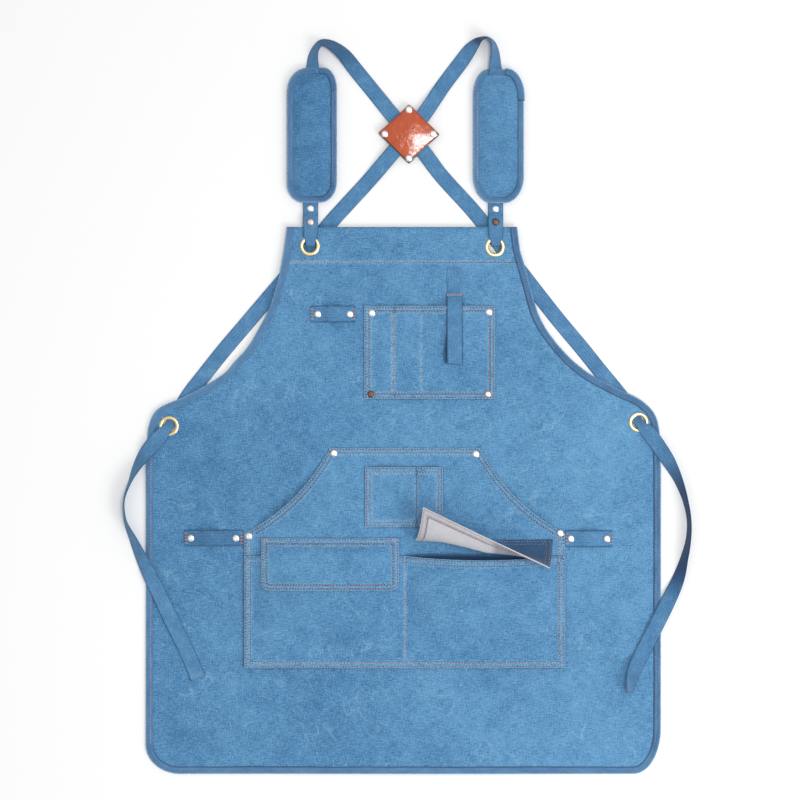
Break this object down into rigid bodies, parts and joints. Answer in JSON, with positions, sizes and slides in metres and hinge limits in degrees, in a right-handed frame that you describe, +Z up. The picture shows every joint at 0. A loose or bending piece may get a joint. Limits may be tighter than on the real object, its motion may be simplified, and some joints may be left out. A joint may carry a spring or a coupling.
{
  "type": "cross-back work apron",
  "caption": "Canvas work apron with padded cross-back straps, a bib pocket, a wide hand pocket, flap pouches and tool loops, lying flat.",
  "frame": {"origin": "on the surface the apron lies on, under the middle of its whole outline with the ties", "axes": "+Y from the bottom hem towards the bib and the crossed straps, +X to the right as seen from the front, +Z up out of the front"},
  "size_m": [0.7572, 0.9805, 0.0653],
  "materials": {
    "canvas": "stone-washed blue cotton canvas",
    "binding": "blue twill tape",
    "webbing": "blue ribbed cotton webbing",
    "leather": "glossy red-brown leather",
    "brass": "polished",
    "rivet_steel": "polished nickel"
  },
  "bodies": {
    "root": {"apron_panel": "canvas", "shoulder_pad_left": "canvas", "shoulder_pad_right": "canvas", "chest_pocket": "canvas", "hand_pocket": "canvas", "lower_pocket_left": "canvas", "lower_pocket_right": "canvas", "tool_patch_pocket": "canvas", "flap_left": "canvas", "flap_right": "canvas", "arm_binding_left": "binding", "skirt_binding": "binding", "arm_binding_right": "binding", "pad_binding_left": "binding", "pad_binding_right": "binding", "bib_loop_left": "webbing", "bib_loop_right": "webbing", "strap_left_pad": "webbing", "strap_right_pad": "webbing", "chest_strap": "webbing", "chest_tool_loop": "webbing", "side_loop_left": "webbing", "side_loop_right": "webbing", "cross_patch_back": "leather", "cross_patch_front": "leather", "eyelet_top_left": "brass", "eyelet_top_right": "brass", "eyelet_waist_left": "brass", "eyelet_waist_right": "brass", "chest_rivet_top_left": "rivet_steel", "chest_rivet_top_right": "rivet_steel", "chest_rivet_bottom_left": "rivet_steel", "chest_rivet_bottom_right": "rivet_steel", "hand_rivet_top_left": "rivet_steel", "hand_rivet_top_right": "rivet_steel", "hand_rivet_low_left": "rivet_steel", "hand_rivet_low_right": "rivet_steel", "chest_tool_loop_rivet_left": "rivet_steel", "chest_tool_loop_rivet_right": "rivet_steel", "side_loop_left_rivet_left": "rivet_steel", "side_loop_left_rivet_right": "rivet_steel", "side_loop_right_rivet_left": "rivet_steel", "side_loop_right_rivet_right": "rivet_steel", "bib_rivet_left_upper": "rivet_steel", "bib_rivet_left_lower": "rivet_steel", "bib_rivet_right_upper": "rivet_steel", "bib_rivet_right_lower": "rivet_steel", "patch_rivet_top": "rivet_steel", "patch_rivet_right": "rivet_steel", "patch_rivet_bottom": "rivet_steel", "patch_rivet_left": "rivet_steel"}
  },
  "joints": []
}
